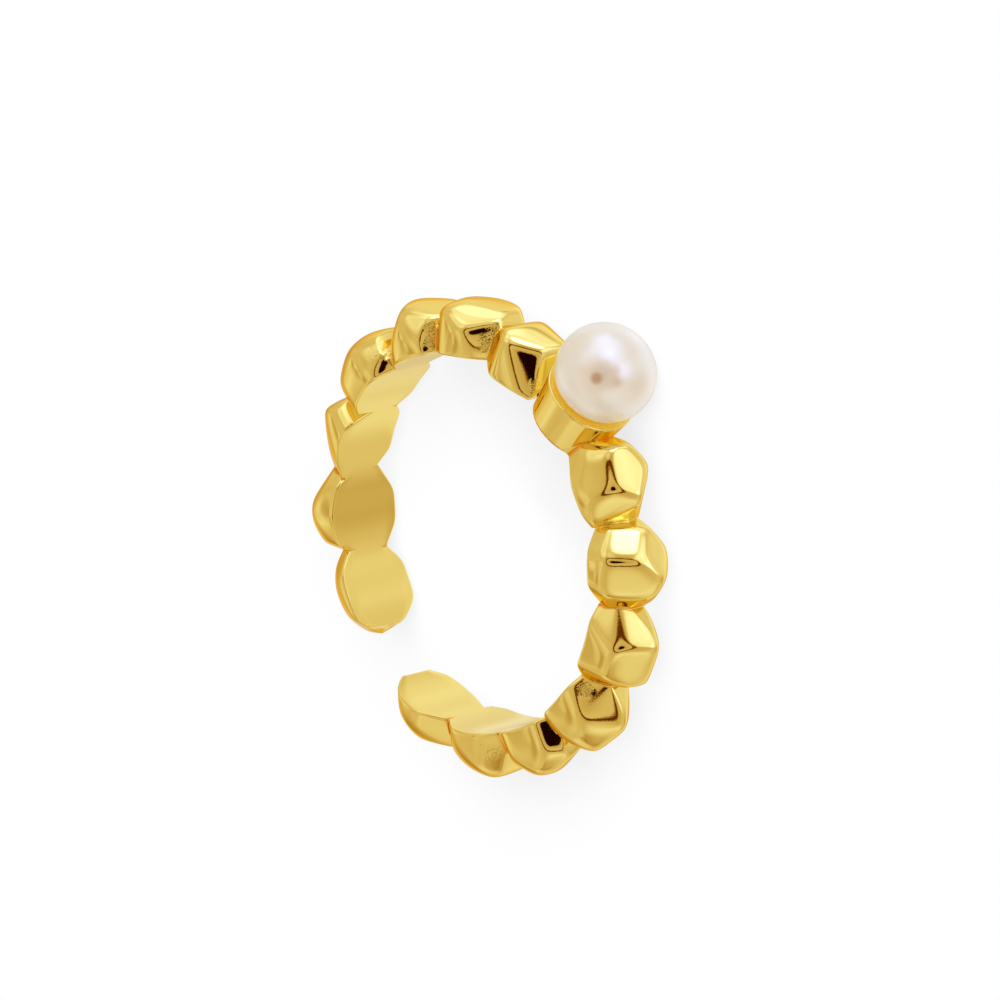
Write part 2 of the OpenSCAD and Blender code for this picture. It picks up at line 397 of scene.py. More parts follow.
@dataclass(frozen=True)
class GoldPlate:
    """Bright gold electroplate on hand-polished cast silver.

    Mirror-bright on the open facets, with the slow waviness of a polished casting, and deeper in
    colour where a facet turns its edge to the eye. The polishing wheel doesn't reach into the
    crevices, so there the skin of the casting stays pitted. There, and in the bowl, the gold is also
    painted a darker, more orange colour: painted shade and painted reflection of gold in gold. The
    bowl under the pearl is matt. Real gold gives off no light, but the bowl does here, by bowl_glow.
    It was set until the crescent under the pearl had the photograph's colour. It stands for light
    that comes through the pearl, which nothing here works out, and is the same in any light.

    The band's mesh carries the point values that the material reads: rough where it is pitted,
    the share of painted shade in the crevices, wall where the edge colour is left out, and matt in
    the bowl.
    """

    colour: str = "FAE78E"
    # Painted shade: the darker, more orange gold of the crevices and the bowl, standing for gold mirrored in
    # gold.
    crevice_shade_colour: str = "F0A830"
    edge_colour: str = "F7CE80"
    bowl_glow: str = "737718"
    roughness: float = 0.045
    matt_roughness: float = 0.6
    wave: Grain = Grain(1.3, 0.004, 1.0, 0.4)
    # The satin's real scratches are finer: they are drawn as coarse as the render can show.
    satin: Grain = Grain(0.07, 0.0006, 1.0, 0.5)
    pits: Grain = Grain(0.13, 0.024, 2.0, 0.55)

    def material(self) -> bpy.types.Material:
        """Build the gold material.

        Returns:
            The material, which reads Object coordinates and the mesh's point values.
        """
        made = bpy.data.materials.new("gold_plate")
        made.use_nodes = True
        tree = made.node_tree
        tree.nodes.clear()
        place = add_node(tree, "ShaderNodeTexCoord").outputs["Object"]
        # Point values: pitting, the share of painted shade in the crevices and the bowl, where the edge
        # colour is left out, and the matt bowl.
        rough, deep, wall, matt = (
            add_node(tree, "ShaderNodeAttribute", {"attribute_name": name}).outputs["Fac"]
            for name in ("rough", "deep", "wall", "matt")
        )
        matt_roughness = add_node(
            tree,
            "ShaderNodeMapRange",
            inputs={"Value": matt, "To Min": self.roughness, "To Max": self.matt_roughness},
        )

        def relief(
            grain: Grain,
            share: Optional[bpy.types.NodeSocket] = None,
            under: Optional[bpy.types.NodeSocket] = None,
        ) -> bpy.types.NodeSocket:
            """Bend the normal by a grain of noise.

            Args:
                grain: the grain.
                share: how much of the grain there is at each place, or None for all of it.
                under: the normal that the grain lies on, or None for the mesh's own.

            Returns:
                The socket of the bent normal.
            """
            scale = 1 / (grain.size_mm * MM)
            noise = {"Vector": place, "Scale": scale, "Detail": grain.detail, "Roughness": grain.detail_share}
            height = add_node(tree, "ShaderNodeTexNoise", inputs=noise).outputs["Fac"]
            if share is not None:
                factors = {0: height, 1: share}
                height = add_node(tree, "ShaderNodeMath", {"operation": "MULTIPLY"}, factors).outputs[0]
            inputs = {"Strength": 1.0, "Distance": grain.depth_mm * MM, "Height": height}
            if under is not None:
                inputs["Normal"] = under
            return add_node(tree, "ShaderNodeBump", inputs=inputs).outputs["Normal"]

        polished = relief(self.satin, under=relief(self.wave))
        shader = add_node(
            tree,
            "ShaderNodeBsdfPrincipled",
            inputs={
                # Painted shade: the crevices and the bowl turn to the darker, more orange gold.
                "Base Color": tinted(tree, linear(self.colour), linear(self.crevice_shade_colour), deep),
                "Metallic": 1.0,
                "Specular Tint": tinted(tree, linear(self.edge_colour), WHITE, wall),
                "Roughness": matt_roughness.outputs["Result"],
                "Emission Color": tinted(tree, BLACK, linear(self.bowl_glow), matt),
                "Emission Strength": 1.0,
                "Normal": relief(self.pits, rough, polished),
            },
        )
        add_node(tree, "ShaderNodeOutputMaterial", inputs={"Surface": shader.outputs["BSDF"]})
        return made


@dataclass(frozen=True)
class Nacre:
    """Cultured freshwater pearl.

    A warm milky body that light soaks into, with faint pink clouds, under thin clear layers that
    give it a soft, slightly blue-white mirror. The layers are drawn as a share of soft metal mixed
    with the body, and end at the foot, which is painted warmer as a painted reflection of the cup's
    gold. A brown spot and two faint spots in a slightly dimmer patch lie on the side towards the
    camera, as in the photograph. They are painted reflections of the camera, darker than the pearl
    round them.
    """

    body: str = "FAF2E9"
    blush: str = "FAEDE3"
    blush_from: float = 0.35
    blush_to: float = 0.7
    # Painted reflection of the cup's gold on the pearl's foot.
    foot: str = "FAC88E"
    # Distance from the ring's axis at which the foot's painted reflection of the gold begins to
    # fade, and where it ends.
    foot_rise_mm: tuple[float, float] = (10.2, 11.2)
    mirror: str = "FAF7FF"
    mirror_share: float = 0.53
    mirror_roughness: float = 0.35
    # Painted reflections of the camera: place, full radius and faded radius in mm, and what they
    # multiply the colours by.
    camera_reflections: tuple[tuple[float, float, float, float, float, str], ...] = (
        (13.17, -0.79, 1.73, 0.1, 0.38, "E2CBB6"),
        (13.68, -0.9, 1.01, 0.02, 0.38, "F5EEE6"),
        (13.4, -1.3, 1.01, 0.02, 0.4, "F5EEE6"),
        (13.35, -0.75, 1.58, 0.4, 1.3, "FBF8F3"),
    )
    body_roughness: float = 0.4
    cloud_mm: float = 1.6
    cloud_detail: float = 2.0
    cloud_share: float = 0.5
    # How deep light soaks in, in mm, and the part of that for red, green and blue.
    glow_mm: float = 0.8
    glow_shares: tuple[float, float, float] = (1.0, 0.7, 0.4)

    def material(self) -> bpy.types.Material:
        """Build the pearl material.

        Returns:
            The material, which reads Object coordinates.
        """
        made = bpy.data.materials.new("nacre")
        made.use_nodes = True
        tree = made.node_tree
        tree.nodes.clear()
        place = add_node(tree, "ShaderNodeTexCoord").outputs["Object"]
        clouds = add_node(
            tree,
            "ShaderNodeTexNoise",
            inputs={
                "Vector": place,
                "Scale": 1 / (self.cloud_mm * MM),
                "Detail": self.cloud_detail,
                "Roughness": self.cloud_share,
            },
        )
        tint = ramp(
            tree,
            clouds.outputs["Fac"],
            ((self.blush_from, linear(self.body)), (self.blush_to, linear(self.blush))),
        )
        rise = add_node(tree, "ShaderNodeSeparateXYZ", inputs={"Vector": place}).outputs["X"]
        low, high = (r * MM for r in self.foot_rise_mm)
        near_foot = add_node(
            tree,
            "ShaderNodeMapRange",
            {"interpolation_type": "SMOOTHSTEP"},
            {"Value": rise, "From Min": low, "From Max": high, "To Min": 1.0, "To Max": 0.0},
        ).outputs["Result"]
        # Painted reflection: the foot takes on the warm colour of the cup's gold.
        milk_tint = tinted(tree, tint.outputs["Color"], linear(self.foot), near_foot)
        layer_tint = linear(self.mirror)
        # Painted reflections of the camera darken the body and the mirror alike.
        for x, y, z, core, fade, shade in self.camera_reflections:
            near = add_node(
                tree,
                "ShaderNodeVectorMath",
                {"operation": "DISTANCE"},
                {0: place, 1: (x * MM, y * MM, z * MM)},
            )
            share = add_node(
                tree,
                "ShaderNodeMapRange",
                {"interpolation_type": "SMOOTHSTEP"},
                {
                    "Value": near.outputs["Value"],
                    "From Min": core * MM,
                    "From Max": fade * MM,
                    "To Min": 1.0,
                    "To Max": 0.0,
                },
            ).outputs["Result"]
            milk_tint = tinted(tree, milk_tint, linear(shade), share, "MULTIPLY")
            layer_tint = tinted(tree, layer_tint, linear(shade), share, "MULTIPLY")
        milk = add_node(
            tree,
            "ShaderNodeBsdfPrincipled",
            inputs={
                "Base Color": milk_tint,
                "Roughness": self.body_roughness,
                "Subsurface Weight": 1.0,
                "Subsurface Radius": self.glow_shares,
                "Subsurface Scale": self.glow_mm * MM,
            },
        )
        layers = add_node(
            tree,
            "ShaderNodeBsdfPrincipled",
            inputs={"Base Color": layer_tint, "Metallic": 1.0, "Roughness": self.mirror_roughness},
        )
        layer_share = add_node(
            tree,
            "ShaderNodeMapRange",
            inputs={"Value": near_foot, "To Min": self.mirror_share, "To Max": 0.0},
        )
        both = add_node(
            tree,
            "ShaderNodeMixShader",
            inputs={0: layer_share.outputs["Result"], 1: milk.outputs["BSDF"], 2: layers.outputs["BSDF"]},
        )
        add_node(tree, "ShaderNodeOutputMaterial", inputs={"Surface": both.outputs["Shader"]})
        return made


@dataclass(frozen=True)
class FloorCard:
    """Matt white card under the ring, lit so evenly that only a faint grey shadow lies on it.

    The card glows white by itself, so the tent doesn't light it. Its shadow is drawn too: the card
    darkens where the ring stands between it and light_from, a side that was chosen.
    """

    colour: str = "FFFFFF"
    shade: str = "CBCACA"
    reach_mm: float = 8.0
    light_from: tuple[float, float, float] = (0.9, 0.0, 0.25)
    # Shares of the light that still reach the card where the shade is full and where it ends.
    shade_full: float = 0.25
    shade_none: float = 0.8
    samples: int = 12

    def material(self) -> bpy.types.Material:
        """Build the floor material.

        Returns:
            The material.
        """
        made = bpy.data.materials.new("floor_card")
        made.use_nodes = True
        tree = made.node_tree
        tree.nodes.clear()
        light_from = add_node(tree, "ShaderNodeCombineXYZ", inputs=dict(zip("XYZ", self.light_from)))
        open_share = add_node(
            tree,
            "ShaderNodeAmbientOcclusion",
            {"samples": self.samples},
            {"Distance": self.reach_mm * MM, "Normal": light_from.outputs["Vector"]},
        )
        stops = ((self.shade_full, linear(self.shade)), (self.shade_none, linear(self.colour)))
        shadow = ramp(tree, open_share.outputs["AO"], stops).outputs["Color"]
        glow = add_node(tree, "ShaderNodeEmission", inputs={"Color": shadow, "Strength": 1.0})
        add_node(tree, "ShaderNodeOutputMaterial", inputs={"Surface": glow.outputs["Emission"]})
        return made


# The band


@dataclass
class NuggetBand:
    """The cast band: a row of faceted nuggets with the pearl's cup, in mm and degrees."""

    nuggets: tuple[Nugget, ...] = NUGGETS
    end_facets: tuple[tuple[float, float, float], ...] = END_FACETS
    finger_r: float = FINGER_R
    core_r: float = 9.4
    head_angle: float = 170.5
    tail_angle: float = 172.5
    end_angle: float = 7.0
    end_power: float = 3.0
    facet_sharpness: float = 12.0
    facet_flatness: float = 0.9
    crevice_sharpness: float = 26.0
    # A nugget has no part in the band further than this from its own middle.
    reach_limit: float = 26.0
    # Where the core circle comes closer than this to a facet, the nugget has no part either.
    least_room: float = 0.001
    # The edge between the outside and the finger wall, on cross-sections of at least this size.
    edge_round: float = 0.14
    least_size: float = 0.3
    box_ease: float = 0.012
    # A point's crevice value is 0 on an open facet and 1 between two nuggets. These are the values
    # at which the pits and the painted shade, a darker and more orange gold, begin and where they are
    # full.
    pits_begin: float = 0.9
    pits_full: float = 0.98
    pits_share: float = 0.6
    crevice_shade_begins: float = 0.72
    crevice_shade_full: float = 0.95
    crevice_shade_power: float = 1.4
    # Places that the polishing wheel missed: turn, radius and height of the middle, and size. They
    # were set where the photograph shows pits. The pits fade out by spot_edge for each size further
    # from the middle.
    rough_spots: tuple[tuple[float, float, float, float], ...] = (
        (78.5, 9.5, 1.3, 0.5),
        (56.5, 9.6, 0.9, 0.45),
        (56.5, 9.0, 1.1, 0.45),
        (33.5, 9.2, 0.9, 0.6),
        (33.5, 9.8, 0.6, 0.5),
        (12.0, 9.2, 0.95, 0.4),
        (-83.0, 9.2, 0.95, 0.42),
        (-102.5, 9.3, 1.1, 0.42),
        (-128.5, 9.4, 1.35, 0.6),
        (-131.0, 9.0, 1.75, 0.45),
    )
    spot_edge: float = 1.6
    # Cross-sections of a nugget, and how much of their spacing is even.
    columns: int = 54
    even_columns: float = 0.45
    # Cross-sections of an end dome, as angles on it: from, to and step.
    dome_bends: tuple[int, int, int] = (88, 8, -4)
    outer_rows: int = 42
    edge_rows: int = 5
    wall_rows: int = 6
    sweep_from: float = 92.0
    sweep_steps: int = 177

    def planes(self, index: int) -> tuple[Array, Array]:
        """Work out the facet planes of one nugget.

        Args:
            index: the nugget's number.

        Returns:
            The facets' normals in the nugget's own directions, which are outwards, along the band
            and up, and their distances from its root.
        """
        nugget = self.nuggets[index]
        whole = index in (0, len(self.nuggets) - 1)
        table = np.array(nugget.facets + (() if whole else self.end_facets), float)
        lean, spin = np.radians(table[:, 0]), np.radians(table[:, 1])
        normals = np.stack([np.cos(lean), np.sin(lean) * np.cos(spin), np.sin(lean) * np.sin(spin)], -1)
        return normals, table[:, 2]

    def nugget_reach(self, index: int, turn: Array, lean: Array) -> Array:
        """How far one nugget reaches from the core circle.

        Along a ray each facet plane is met at its room, its distance from the core, over the
        cosine between its normal and the ray. A power a little under 1 on that cosine pillows the
        facet. The reach is the p-norm mean of these, which is the nearest facet with its edges
        rounded.

        Args:
            index: the nugget's number.
            turn: angles round the finger in degrees.
            lean: directions in the cross-section in degrees, 0 outwards and 90 to the near face.

        Returns:
            The reach in mm, 0 outside the nugget's own stretch of the band.
        """
        normals, distances = self.planes(index)
        off = np.radians(turn - self.nuggets[index].turn)
        along = np.radians(lean)
        zero = np.zeros_like(off)
        core = np.stack([self.core_r * np.cos(off) - self.finger_r, self.core_r * np.sin(off), zero], -1)
        ray = np.stack([np.cos(along) * np.cos(off), np.cos(along) * np.sin(off), np.sin(along)], -1)
        rooms = distances - core @ normals.T
        shares = np.maximum(ray @ normals.T, 0) ** self.facet_flatness / np.maximum(rooms, self.least_room)
        total = np.maximum((shares**self.facet_sharpness).sum(-1), TINY)
        near = np.abs(turn - self.nuggets[index].turn) < self.reach_limit
        inside = near & (rooms.min(-1) > self.least_room)
        return np.where(inside, total ** (-1 / self.facet_sharpness), 0.0)

    def end_share(self, turn: Array) -> Array:
        """Share of the reach that is left near the two ends.

        It is the p-th root of 1 less the p-th power of a number that rises from 0 to 1 over the
        end angle, so each end is a dome.

        Args:
            turn: angles round the finger in degrees.

        Returns:
            The share at each angle, from 1 down to 0.
        """
        into = np.maximum(turn - self.head_angle, -self.tail_angle - turn) + self.end_angle
        share = np.maximum(0, into) / self.end_angle
        return np.maximum(1 - share**self.end_power, 0) ** (1 / self.end_power)

    def row_reach(self, turn: Array, lean: Array) -> tuple[Array, Array]:
        """Reach of the whole row, and how deep each place lies in a crevice.

        The reach is the p-th root of the sum of the p-th powers of the nuggets' reaches, which is
        the largest of them with the crevices rounded.

        Args:
            turn: angles round the finger in degrees.
            lean: directions in the cross-section in degrees, of the same shape.

        Returns:
            The reach in mm, and the crevice value: the second largest reach over the largest.
        """
        total = np.zeros_like(turn)
        first = np.full_like(turn, TINY)
        second = np.zeros_like(turn)
        for index, nugget in enumerate(self.nuggets):
            near = np.abs(turn - nugget.turn) < self.reach_limit
            if not near.any():
                continue
            reach = np.zeros_like(turn)
            reach[near] = self.nugget_reach(index, turn[near], lean[near])
            total += reach**self.crevice_sharpness
            second = np.maximum(second, np.minimum(first, reach))
            first = np.maximum(first, reach)
        return self.end_share(turn) * total ** (1 / self.crevice_sharpness), second / first

    def turns(self) -> Array:
        """Choose the cross-sections, closer together at the crevices and on the two end domes.

        Returns:
            Their angles round the finger in degrees.
        """
        middles = [(a.turn + b.turn) / 2 for a, b in zip(self.nuggets, self.nuggets[1:])]
        edges = np.array([self.head_angle, *middles, -self.tail_angle])
        even = np.arange(self.columns) / self.columns
        share = self.even_columns * even + (1 - self.even_columns) * (1 - np.cos(math.pi * even)) / 2
        every = (edges[:-1, None] + np.diff(edges)[:, None] * share[None, :]).reshape(-1)
        bend = np.radians(np.arange(*self.dome_bends))
        dome = self.end_angle * (1 - np.sin(bend) ** (2 / self.end_power))
        inner = every[(every < self.head_angle - dome[-1]) & (every > dome[-1] - self.tail_angle)]
        return np.concatenate([self.head_angle - dome, inner, (dome - self.tail_angle)[::-1]])

    def section_points(self, turn: Array, lean: Array) -> tuple[Array, Array, Array]:
        """Find points of the outer surface in the cross-sections.

        Args:
            turn: angles round the finger in degrees.
            lean: directions in the cross-section in degrees, of the same shape.

        Returns:
            The points' radius and height in mm, and their crevice value.
        """
        reach, crevice = self.row_reach(turn, lean)
        angle = np.radians(lean)
        return self.core_r + reach * np.cos(angle), reach * np.sin(angle), crevice

    def wall_lean(self, turns: Array, side: int) -> Array:
        """Find the direction in which the outer surface meets the finger wall, on a fine sweep.

        Args:
            turns: angles of the cross-sections.
            side: 1 for the near face and -1 for the far face.

        Returns:
            The meeting direction of each section in degrees, 180 where it stays outside the wall.
        """
        sweep = np.linspace(self.sweep_from, 180, self.sweep_steps)
        turn, lean = np.broadcast_arrays(turns[:, None], side * sweep[None, :])
        radius, _, _ = self.section_points(np.array(turn), np.array(lean))
        below = radius < self.finger_r
        found = below.any(1)
        first = np.maximum(below.argmax(1), 1)
        rows = np.arange(len(turns))
        high, low = radius[rows, first - 1], radius[rows, first]
        share = np.where(found, (high - self.finger_r) / np.maximum(high - low, TINY), 0)
        return np.where(found, sweep[first - 1] + share * (sweep[first] - sweep[first - 1]), 180.0)

    def half_section(self, turns: Array, side: int) -> tuple[Array, Array]:
        """Half of every cross-section, from the crown over one face to the finger wall.

        The outer surface stops a little short of the wall, and a quadratic curve through the
        corner carries it onto the wall, so that the edge is rounded.

        Args:
            turns: angles of the cross-sections.
            side: 1 for the near face and -1 for the far face.

        Returns:
            Radius and height, shape (sections, rows, 2), and the crevice value, shape (sections, rows).
        """
        stop = self.wall_lean(turns, side)
        corner_r, corner_z, _ = self.section_points(turns, side * stop)
        corner = np.stack([corner_r, corner_z], -1)
        size = np.hypot(corner_r - self.core_r, corner_z)
        back = np.degrees(self.edge_round / np.maximum(size, self.least_size))
        share = np.linspace(0, 1, self.outer_rows)[None, :]
        turn, lean = np.broadcast_arrays(turns[:, None], side * share * (stop - back)[:, None])
        radius, height, crevice = self.section_points(np.array(turn), np.array(lean))
        outer = np.stack([radius, height], -1)
        onto = np.stack([corner_r, side * np.maximum(np.abs(corner_z) - self.edge_round, 0)], -1)
        step = (np.arange(1, self.edge_rows + 1) / self.edge_rows)[None, :, None]
        start, end = outer[:, -1:, :], onto[:, None, :]
        curve = (1 - step) ** 2 * start + 2 * step * (1 - step) * corner[:, None, :] + step**2 * end
        edge_crevice = np.repeat(crevice[:, -1:], self.edge_rows, 1)
        return np.concatenate([outer, curve], 1), np.concatenate([crevice, edge_crevice], 1)

    def row_shell(self) -> Shell:
        """Make the row of nuggets: cross-sections carried round the finger and closed at both tips.

        Returns:
            The closed shell with the point values that the gold reads.
        """
        turns = self.turns()
        near, near_crevice = self.half_section(turns, 1)
        far, far_crevice = self.half_section(turns, -1)
        share = (np.arange(1, self.wall_rows) / self.wall_rows)[None, :, None]
        wall = near[:, -1:, :] * (1 - share) + far[:, -1:, :] * share
        section = np.concatenate([near, wall, far[:, :0:-1, :]], 1)
        crevice = np.concatenate([near_crevice, np.zeros(wall.shape[:2]), far_crevice[:, :0:-1]], 1)
        angle = np.radians(turns)[:, None]
        rings = np.stack(
            [section[..., 0] * np.cos(angle), section[..., 0] * np.sin(angle), section[..., 1]],
            -1,
        )
        poles = [
            self.core_r * np.array([math.cos(math.radians(a)), math.sin(math.radians(a)), 0.0])
            for a in (self.head_angle, -self.tail_angle)
        ]
        pits = np.clip((crevice - self.pits_begin) / (self.pits_full - self.pits_begin), 0, 1)
        rough = np.maximum(self.pits_share * pits, self.spot_share(rings))
        # Painted shade: how far the gold turns darker and more orange in the crevices.
        deep = np.clip((crevice - self.crevice_shade_begins) / (self.crevice_shade_full - self.crevice_shade_begins), 0, 1)
        deep = deep**self.crevice_shade_power
        on_wall = np.zeros(crevice.shape)
        on_wall[:, near.shape[1] - self.edge_rows : near.shape[1] + wall.shape[1] + self.edge_rows] = 1.0
        shares = {"rough": rough, "deep": deep, "wall": on_wall, "matt": np.zeros(crevice.shape)}
        values = {name: np.append(share, [0.0, 0.0]) for name, share in shares.items()}
        return Shell.from_rings(self.settled(rings) * MM, poles[0] * MM, poles[1] * MM, values)

    def settled(self, points: Array) -> Array:
        """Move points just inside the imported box.

        The room left to each side of the box is added to the root of its square plus a small
        square, and halved. That stays above zero and changes only the last hundredths.

        Args:
            points: points in mm.

        Returns:
            The points, moved by a few hundredths at most.
        """
        low, high = (np.array(corner) / MM for corner in CAD_BOX)

        def room(left: Array) -> Array:
            """The room left to one side, kept above zero."""
            return (left + np.sqrt(left**2 + (2 * self.box_ease) ** 2)) / 2

        inside = high - room(high - points)
        return low + room(inside - low)

    def spot_share(self, points: Array) -> Array:
        """Say how deep each point lies in a rough spot.

        Args:
            points: points in mm.

        Returns:
            1 in the middle part of a spot, falling straight to 0 at its size.
        """
        share = np.zeros(points.shape[:-1])
        for turn, radius, height, size in self.rough_spots:
            angle = math.radians(turn)
            middle = np.array([radius * math.cos(angle), radius * math.sin(angle), height])
            away = np.linalg.norm(points - middle, axis=-1) / size
            share = np.maximum(share, np.clip(self.spot_edge * (1 - away), 0, 1))
        return share

    def build(self, cup: "Cup", pearl: "Pearl") -> bpy.types.Object:
        """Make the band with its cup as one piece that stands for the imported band.

        Args:
            cup: the pearl's cup.
            pearl: the pearl that the cup's bowl fits.

        Returns:
            The band's object.
        """
        piece = Shell.joined([self.row_shell(), cup.shell(pearl)]).make_object("nugget_band")
        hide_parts(Node.BAND.value)
        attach(piece, "root")
        return piece

    def dress(self, piece: bpy.types.Object, finish: GoldPlate) -> None:
        """Give the band its gold."""
        piece.data.materials.append(finish.material())


@dataclass
class Cup:
    """The pearl's cup with its bowl and peg, turned about +X, in mm."""

    lip_r: float = 2.05
    lip_round: float = 0.06
    lip_rise: float = 2.1
    foot_r: float = 1.75
    foot_drop: float = 0.6
    flare_power: float = 1.3
    # From the lip the metal slopes inwards, by this height over this width, until it meets the bowl.
    slope_w: float = 0.5
    slope_h: float = 0.1
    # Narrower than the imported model's gap, so that no dark line shows between bowl and pearl.
    bowl_gap: float = 0.03
    peg_r: float = 0.4
    peg_rise: float = 3.85
    peg_start: float = 0.02
    # The sole stands a little proud of the finger wall, so that the two don't share a surface.
    sole_lift: float = 0.02
    # The bowl's share of the crevices' painted shade, their darker and more orange gold.
    bowl_shade_share: float = 0.4
    around: int = 128
    wall_rows: int = 22
    lip_rows: int = 6
    slope_rows: int = 4
    slope_span: tuple[float, float] = (0.2, 0.95)
    bowl_rows: int = 12
    sole_rows: int = 6
    sole_span: tuple[float, float] = (0.15, 0.98)
    search_steps: int = 200

    def flare(self, rise: Array) -> Array:
        """Radius of the wall, which grows from the foot's to the lip's by a power of the height.

        Args:
            rise: heights over the finger wall in mm.

        Returns:
            The radius at each height in mm.
        """
        top = self.lip_rise - self.lip_round
        share = np.clip((rise + self.foot_drop) / (top + self.foot_drop), 0, 1)
        return self.foot_r + (self.lip_r - self.foot_r) * share**self.flare_power

    def shell(self, pearl: "Pearl") -> Shell:
        """Make the cup, a profile turned about the pearl's axis.

        The profile runs over the sole on the finger wall, up the flared wall, over the rounded
        lip, down its slope to the oval bowl, and up the peg. The sole and the wall's lower edge
        follow the finger wall: their height is the root of its squared radius less the squared
        distance from the middle, less the radius.

        Args:
            pearl: the pearl that the bowl fits.

        Returns:
            The closed shell, polished outside and matt in the bowl.
        """
        finger_r = pearl.finger_r
        spin = np.linspace(0, 2 * math.pi, self.around, endpoint=False)[None, :]
        top = self.lip_rise - self.lip_round
        foot_radius = self.flare(np.zeros(1))[0]
        foot_rise = np.sqrt(finger_r**2 - (foot_radius * np.sin(spin)) ** 2) - finger_r
        share = np.linspace(0, 1, self.wall_rows)[:, None]
        rise = foot_rise * (1 - share) + top * share
        wall = np.stack([rise, self.flare(rise)], -1)
        bend = np.linspace(0, math.pi / 2, self.lip_rows + 1)[1:]
        lip = np.stack(
            [top + self.lip_round * np.sin(bend), self.lip_r - self.lip_round * (1 - np.cos(bend))],
            -1,
        )
        high, wide = pearl.high / 2 + self.bowl_gap, pearl.across / 2 + self.bowl_gap
        floor = pearl.rise - high
        slope = self.slope_h / self.slope_w
        reach = np.linspace(0, self.slope_w, self.search_steps)
        away = np.hypot(
            (self.lip_rise - slope * reach - pearl.rise) / high,
            (self.lip_r - self.lip_round - reach) / wide,
        )
        stop = reach[np.argmax(away < 1)]
        edge_rise = self.lip_rise - slope * stop
        start = math.acos((pearl.rise - edge_rise) / high)
        share_in = np.linspace(*self.slope_span, self.slope_rows)[:, None]
        rim = np.array([self.lip_rise, self.lip_r - self.lip_round])
        inner_edge = np.array([edge_rise, wide * math.sin(start)])
        slope_points = rim + share_in * (inner_edge - rim)
        dip = np.linspace(start, math.asin(self.peg_r / wide), self.bowl_rows)
        oval = np.stack([pearl.rise - high * np.cos(dip), wide * np.sin(dip)], -1)
        bowl = np.concatenate([slope_points, oval])
        peg = np.array([[floor + self.peg_start, self.peg_r], [self.peg_rise, self.peg_r]])
        inner = np.concatenate([lip, bowl, peg])[:, None, :]
        profile = np.concatenate([wall, np.broadcast_to(inner, (len(inner), self.around, 2))])
        sole = np.linspace(*self.sole_span, self.sole_rows)[:, None]
        sole_radius = foot_radius * sole * np.ones_like(spin)
        sole_rise = np.sqrt(finger_r**2 - (sole_radius * np.sin(spin)) ** 2) - finger_r + self.sole_lift
        profile = np.concatenate([np.stack([sole_rise, sole_radius], -1), profile])
        rings = np.stack(
            [
                finger_r + profile[..., 0],
                profile[..., 1] * np.sin(spin),
                profile[..., 1] * np.cos(spin),
            ],
            -1,
        )
        low = np.array([finger_r + self.sole_lift, 0.0, 0.0])
        tip = np.array([finger_r + self.peg_rise, 0.0, 0.0])
        inside = np.arange(len(profile)) >= len(profile) - len(bowl) - len(peg)
        # Painted shade in the bowl: its share of the crevices' darker, more orange gold.
        deep = np.append(np.repeat(self.bowl_shade_share * inside, self.around), [0.0, self.bowl_shade_share])
        matt = np.append(np.repeat(inside.astype(float), self.around), [0.0, 1.0])
        # The bowl takes no edge colour, so it counts as wall.
        values = {"rough": np.zeros(len(deep)), "deep": deep, "wall": matt, "matt": matt}
        return Shell.from_rings(rings[:, ::-1] * MM, low * MM, tip * MM, values)


# The pearl


@dataclass
class Pearl:
    """The pearl, a round bead a little flatter along its peg, in mm."""

    across: float = 4.5
    high: float = 4.2
    rise: float = 3.55
    finger_r: float = FINGER_R
    hole_r: float = 0.44
    hole_rise: float = 3.89
    hole_edge: float = 0.05
    rows: int = 120
    around: int = 200

    def shell(self) -> Shell:
        """Make the bead, an oval turned about +X, with a blind hole at its foot.

        Returns:
            The closed shell.
        """
        start = math.asin(self.hole_r / (self.across / 2))
        dip = np.linspace(start, math.pi, self.rows + 1)[:-1]
        body = np.stack([self.rise - self.high / 2 * np.cos(dip), self.across / 2 * np.sin(dip)], -1)
        hole_end = [[self.hole_rise, self.hole_r / 2], [self.hole_rise, self.hole_r]]
        hole = np.array([*hole_end, [body[0, 0] + self.hole_edge, self.hole_r]])
        profile = np.concatenate([hole, body])[:, None, :]
        spin = np.linspace(0, 2 * math.pi, self.around, endpoint=False)[None, :]
        rings = np.stack(
            [
                self.finger_r + profile[..., 0] * np.ones_like(spin),
                profile[..., 1] * np.sin(spin),
                profile[..., 1] * np.cos(spin),
            ],
            -1,
        )
        low = np.array([self.finger_r + self.hole_rise, 0.0, 0.0])
        high = np.array([self.finger_r + self.rise + self.high / 2, 0.0, 0.0])
        return Shell.from_rings(rings[:, ::-1] * MM, low * MM, high * MM, {})

    def build(self) -> bpy.types.Object:
        """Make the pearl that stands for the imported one.

        Returns:
            The pearl's object.
        """
        piece = self.shell().make_object("pearl_bead")
        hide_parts(Node.PEARL.value)
        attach(piece, "root")
        return piece

    def dress(self, piece: bpy.types.Object, finish: Nacre) -> None:
        """Give the pearl its nacre."""
        piece.data.materials.append(finish.material())


# The studio


